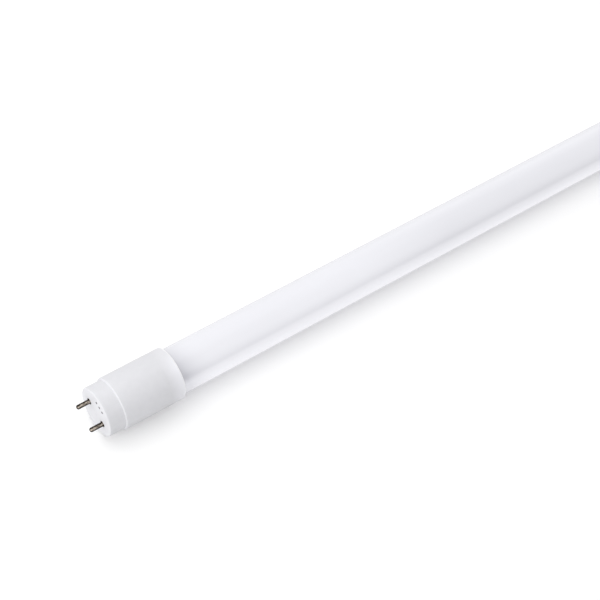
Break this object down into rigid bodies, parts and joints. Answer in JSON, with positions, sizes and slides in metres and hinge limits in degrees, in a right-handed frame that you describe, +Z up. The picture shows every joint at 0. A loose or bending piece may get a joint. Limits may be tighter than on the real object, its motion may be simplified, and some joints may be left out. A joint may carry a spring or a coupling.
{
  "type": "led tube",
  "caption": "Straight opal glass LED lamp tube with a white moulded cap and a two-pin base at each end, and the LED strip and driver inside.",
  "frame": {"origin": "on the tube's axis, midway between the two end faces", "axes": "+X along the tube towards the far cap, which the picture doesn't show; +Z up from the surface that the lamp lies on; +Y across, away from the side that the picture was taken from. The lamp lies rolled 17 degrees about X, so the pins' line and the light's direction are turned by that from Y and Z."},
  "size_m": [0.604, 0.028, 0.028],
  "materials": {
    "opal_glass": "gloss",
    "cap_plastic": "satin",
    "nickel_plate": "satin",
    "strip_aluminium": "satin",
    "silicone": "satin",
    "led_housing": "satin",
    "phosphor": "satin",
    "board_laminate": "satin",
    "ferrite": "matte",
    "bobbin_plastic": "satin",
    "copper_wire": "gloss",
    "can_sleeve": "satin",
    "film_box": "gloss",
    "resistor_coat": "satin",
    "varistor_coat": "satin",
    "chip_mould": "matte",
    "chip_ceramic": "satin",
    "wire_brown": "satin",
    "wire_blue": "satin",
    "wire_red": "satin",
    "wire_black": "satin",
    "wire_white": "satin"
  },
  "bodies": {
    "root": {"glass_tube": "opal_glass", "led_strip": "strip_aluminium", "strip_bed": "silicone", "led_packages": "led_housing", "led_phosphors": "phosphor", "end_cap_near": "cap_plastic", "end_cap_far": "cap_plastic", "tube_bond_near": "silicone", "tube_bond_far": "silicone", "contact_pin_near_a": "nickel_plate", "contact_pin_near_b": "nickel_plate", "contact_pin_far_a": "nickel_plate", "contact_pin_far_b": "nickel_plate", "pin_link_wire": "wire_white", "live_wire": "wire_brown", "neutral_wire": "wire_blue", "feed_wire_plus": "wire_red", "feed_wire_minus": "wire_black", "driver_board": "board_laminate", "choke_core": "ferrite", "choke_bobbin": "bobbin_plastic", "choke_winding": "copper_wire", "filter_drum": "ferrite", "filter_winding": "copper_wire", "input_capacitor": "can_sleeve", "output_capacitor": "can_sleeve", "film_capacitor": "film_box", "fuse_resistor": "resistor_coat", "varistor": "varistor_coat", "bridge_rectifier": "chip_mould", "control_chip": "chip_mould", "output_diode": "chip_mould", "chip_resistors": "chip_ceramic"}
  },
  "joints": []
}
